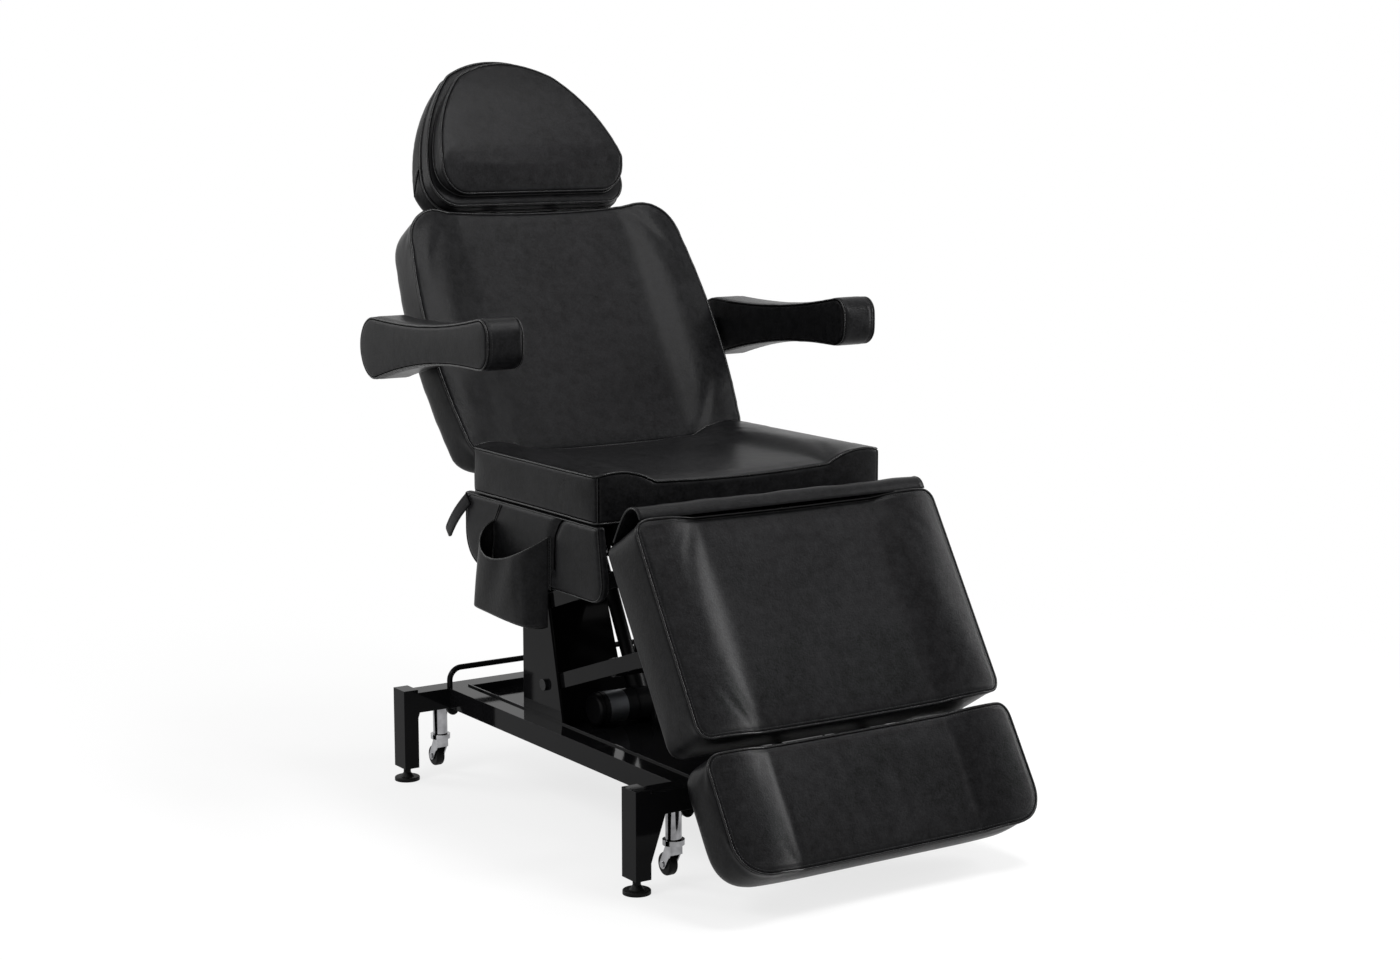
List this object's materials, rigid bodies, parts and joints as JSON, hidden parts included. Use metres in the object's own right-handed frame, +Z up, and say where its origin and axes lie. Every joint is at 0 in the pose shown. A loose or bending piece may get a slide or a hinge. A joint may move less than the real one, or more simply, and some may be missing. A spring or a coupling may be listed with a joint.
{
  "type": "tattoo chair",
  "caption": "Electric tattoo chair with a lifting seat, reclining back, raising leg rest with a pull-out foot rest, swing armrests and a wired handset.",
  "frame": {"origin": "on the floor, under the middle of the chair's box at rest", "axes": "+Z up, -Y the way the sitter faces, +X towards the sitter's left"},
  "size_m": [0.837, 1.4058, 1.3683],
  "materials": {
    "gloss_black_steel": "gloss black paint",
    "chrome": "bright chrome",
    "zinc_bolts": "zinc plated",
    "drive_rods": "ground steel",
    "drive_housings": "satin black",
    "black_vinyl": "fine-grained black vinyl, soft sheen",
    "black_plastic": "matt",
    "wheel_tread": "hard dark rubber",
    "key_rubber": "matt silicone",
    "cord_rubber": "matt"
  },
  "bodies": {
    "base": {"front_leg_frame": "gloss_black_steel", "rear_leg_frame": "gloss_black_steel", "base_rails": "gloss_black_steel", "base_tray": "gloss_black_steel", "rear_loop_bar": "gloss_black_steel", "lift_column": "gloss_black_steel", "column_pivot_bolts": "zinc_bolts", "caster_stems": "chrome", "caster_clamps": "gloss_black_steel"},
    "lower_lift": {"lower_lift_frame": "gloss_black_steel"},
    "upper_lift": {"upper_lift_links": "gloss_black_steel"},
    "seat": {"seat_frame": "gloss_black_steel", "seat_cushion": "black_vinyl", "left_side_panel": "black_vinyl", "right_side_panel": "black_vinyl", "side_pocket": "black_vinyl", "pull_strap": "black_vinyl", "control_box": "black_plastic", "handset_shell": "black_plastic", "handset_holder": "black_plastic", "handset_cord": "cord_rubber"},
    "back": {"back_frame": "gloss_black_steel", "backrest_cushion": "black_vinyl", "right_armrest_bracket": "gloss_black_steel", "left_armrest_bracket": "gloss_black_steel"},
    "headrest": {"headrest_posts": "chrome", "headrest_cushion": "black_vinyl", "headrest_pillow": "black_vinyl"},
    "right_arm": {"right_armrest": "black_vinyl"},
    "left_arm": {"left_armrest": "black_vinyl"},
    "leg": {"leg_frame": "gloss_black_steel", "leg_rest_cushion": "black_vinyl", "hinge_flap": "black_vinyl"},
    "foot": {"foot_slide_bars": "chrome", "foot_rest_cushion": "black_vinyl"},
    "lift_drive": {"lift_actuator": "drive_housings", "lift_motor": "drive_housings"},
    "lift_drive_rod": {"lift_rod": "drive_rods"},
    "back_drive": {"back_actuator": "drive_housings"},
    "back_drive_rod": {"back_rod": "drive_rods"},
    "leg_drive": {"leg_actuator": "drive_housings"},
    "leg_drive_rod": {"leg_rod": "drive_rods"},
    "foot_front_right": {"levelling_foot_front_right": "black_plastic"},
    "fork_front_right": {"caster_fork_front_right": "chrome"},
    "wheel_front_right": {"caster_wheel_front_right": "wheel_tread"},
    "foot_rear_right": {"levelling_foot_rear_right": "black_plastic"},
    "fork_rear_right": {"caster_fork_rear_right": "chrome"},
    "wheel_rear_right": {"caster_wheel_rear_right": "wheel_tread"},
    "foot_front_left": {"levelling_foot_front_left": "black_plastic"},
    "fork_front_left": {"caster_fork_front_left": "chrome"},
    "wheel_front_left": {"caster_wheel_front_left": "wheel_tread"},
    "foot_rear_left": {"levelling_foot_rear_left": "black_plastic"},
    "fork_rear_left": {"caster_fork_rear_left": "chrome"},
    "wheel_rear_left": {"caster_wheel_rear_left": "wheel_tread"},
    "key_back_down": {"key_back_down": "key_rubber"},
    "key_back_up": {"key_back_up": "key_rubber"},
    "key_seat_up": {"key_seat_up": "key_rubber"},
    "key_seat_down": {"key_seat_down": "key_rubber"},
    "key_leg_down": {"key_leg_down": "key_rubber"},
    "key_leg_up": {"key_leg_up": "key_rubber"}
  },
  "joints": [
    {"name": "lift", "type": "hinge", "parent": "base", "child": "lower_lift", "pos_m": [0, 0.07252, 0.234], "axis": [-1, 0, 0], "range_deg": [-3, 33.2]},
    {"name": "seat_level", "type": "hinge", "parent": "lower_lift", "child": "seat", "pos_m": [0, -0.25881, 0.34679], "axis": [-1, 0, 0], "range_deg": [-33.2, 3]},
    {"name": "upper_links", "type": "hinge", "parent": "base", "child": "upper_lift", "pos_m": [0, 0.09152, 0.383], "axis": [-1, 0, 0], "range_deg": [-3, 33.2]},
    {"name": "lift_drive_swing", "type": "hinge", "parent": "base", "child": "lift_drive", "pos_m": [-0.06, -0.00048, 0.194], "axis": [-1, 0, 0], "range_deg": [-0.15, 1.45]},
    {"name": "lift_drive_stroke", "type": "slide", "parent": "lift_drive", "child": "lift_drive_rod", "axis": [0, 0.4659, 0.8848], "range_m": [-0.0183, 0.2009]},
    {"name": "back_recline", "type": "hinge", "parent": "seat", "child": "back", "pos_m": [0, 0.23952, 0.575], "axis": [-1, 0, 0], "range_deg": [0, 58.4]},
    {"name": "back_drive_swing", "type": "hinge", "parent": "seat", "child": "back_drive", "pos_m": [0.06, -0.01848, 0.506], "axis": [-1, 0, 0], "range_deg": [0, 7.28]},
    {"name": "back_drive_stroke", "type": "slide", "parent": "back_drive", "child": "back_drive_rod", "axis": [0, 0.9984, 0.0562], "range_m": [-0.0703, 0]},
    {"name": "leg_raise", "type": "hinge", "parent": "seat", "child": "leg", "pos_m": [0, -0.26948, 0.537], "axis": [-1, 0, 0], "range_deg": [0, 58.4], "deforming": ["hinge_flap"]},
    {"name": "leg_drive_swing", "type": "hinge", "parent": "seat", "child": "leg_drive", "pos_m": [0, -0.04848, 0.5], "axis": [-1, 0, 0], "range_deg": [0, 11.38]},
    {"name": "leg_drive_stroke", "type": "slide", "parent": "leg_drive", "child": "leg_drive_rod", "axis": [0, -0.985, -0.1724], "range_m": [0, 0.0611]},
    {"name": "headrest_height", "type": "slide", "parent": "back", "child": "headrest", "axis": [0, 0.5225, 0.8526], "range_m": [0, 0.1]},
    {"name": "foot_rest_reach", "type": "slide", "parent": "leg", "child": "foot", "axis": [0, -0.524, -0.8517], "range_m": [0, 0.1]},
    {"name": "right_armrest_swing", "type": "hinge", "parent": "back", "child": "right_arm", "pos_m": [-0.3435, 0.35652, 0.843], "axis": [-1, 0, 0], "range_deg": [-20, 105]},
    {"name": "left_armrest_swing", "type": "hinge", "parent": "back", "child": "left_arm", "pos_m": [0.3435, 0.35652, 0.843], "axis": [-1, 0, 0], "range_deg": [-20, 105]},
    {"name": "foot_screw_front_right", "type": "slide", "parent": "base", "child": "foot_front_right", "axis": [0, 0, 1], "range_m": [0, 0.01]},
    {"name": "swivel_front_right", "type": "hinge", "parent": "base", "child": "fork_front_right", "pos_m": [-0.275, -0.43948, 0.082], "axis": [0, 0, 1], "continuous": true},
    {"name": "wheel_front_right", "type": "hinge", "parent": "fork_front_right", "child": "wheel_front_right", "pos_m": [-0.275, -0.42248, 0.034], "axis": [-1, 0, 0], "continuous": true},
    {"name": "foot_screw_rear_right", "type": "slide", "parent": "base", "child": "foot_rear_right", "axis": [0, 0, 1], "range_m": [0, 0.01]},
    {"name": "swivel_rear_right", "type": "hinge", "parent": "base", "child": "fork_rear_right", "pos_m": [-0.275, 0.38752, 0.082], "axis": [0, 0, 1], "continuous": true},
    {"name": "wheel_rear_right", "type": "hinge", "parent": "fork_rear_right", "child": "wheel_rear_right", "pos_m": [-0.275, 0.40452, 0.034], "axis": [-1, 0, 0], "continuous": true},
    {"name": "foot_screw_front_left", "type": "slide", "parent": "base", "child": "foot_front_left", "axis": [0, 0, 1], "range_m": [0, 0.01]},
    {"name": "swivel_front_left", "type": "hinge", "parent": "base", "child": "fork_front_left", "pos_m": [0.275, -0.43948, 0.082], "axis": [0, 0, 1], "continuous": true},
    {"name": "wheel_front_left", "type": "hinge", "parent": "fork_front_left", "child": "wheel_front_left", "pos_m": [0.275, -0.42248, 0.034], "axis": [-1, 0, 0], "continuous": true},
    {"name": "foot_screw_rear_left", "type": "slide", "parent": "base", "child": "foot_rear_left", "axis": [0, 0, 1], "range_m": [0, 0.01]},
    {"name": "swivel_rear_left", "type": "hinge", "parent": "base", "child": "fork_rear_left", "pos_m": [0.275, 0.38752, 0.082], "axis": [0, 0, 1], "continuous": true},
    {"name": "wheel_rear_left", "type": "hinge", "parent": "fork_rear_left", "child": "wheel_rear_left", "pos_m": [0.275, 0.40452, 0.034], "axis": [-1, 0, 0], "continuous": true},
    {"name": "key_back_down_press", "type": "slide", "parent": "seat", "child": "key_back_down", "axis": [-1, 0, 0], "range_m": [0, 0.001], "stiffness_N_per_m": 900},
    {"name": "key_back_up_press", "type": "slide", "parent": "seat", "child": "key_back_up", "axis": [-1, 0, 0], "range_m": [0, 0.001], "stiffness_N_per_m": 900},
    {"name": "key_seat_up_press", "type": "slide", "parent": "seat", "child": "key_seat_up", "axis": [-1, 0, 0], "range_m": [0, 0.001], "stiffness_N_per_m": 900},
    {"name": "key_seat_down_press", "type": "slide", "parent": "seat", "child": "key_seat_down", "axis": [-1, 0, 0], "range_m": [0, 0.001], "stiffness_N_per_m": 900},
    {"name": "key_leg_down_press", "type": "slide", "parent": "seat", "child": "key_leg_down", "axis": [-1, 0, 0], "range_m": [0, 0.001], "stiffness_N_per_m": 900},
    {"name": "key_leg_up_press", "type": "slide", "parent": "seat", "child": "key_leg_up", "axis": [-1, 0, 0], "range_m": [0, 0.001], "stiffness_N_per_m": 900}
  ],
  "couplings": [
    {"joint": "seat_level", "follows": "lift", "ratio": -1},
    {"joint": "upper_links", "follows": "lift", "ratio": 1},
    {"joint": "lift_drive_swing", "follows": "lift", "ratio": 0.0431},
    {"joint": "lift_drive_stroke", "follows": "lift", "m_per_rad": 0.3463},
    {"joint": "back_drive_swing", "follows": "back_recline", "ratio": 0.12428},
    {"joint": "back_drive_stroke", "follows": "back_recline", "m_per_rad": -0.06878},
    {"joint": "leg_drive_swing", "follows": "leg_raise", "ratio": 0.19458},
    {"joint": "leg_drive_stroke", "follows": "leg_raise", "m_per_rad": 0.05975}
  ]
}
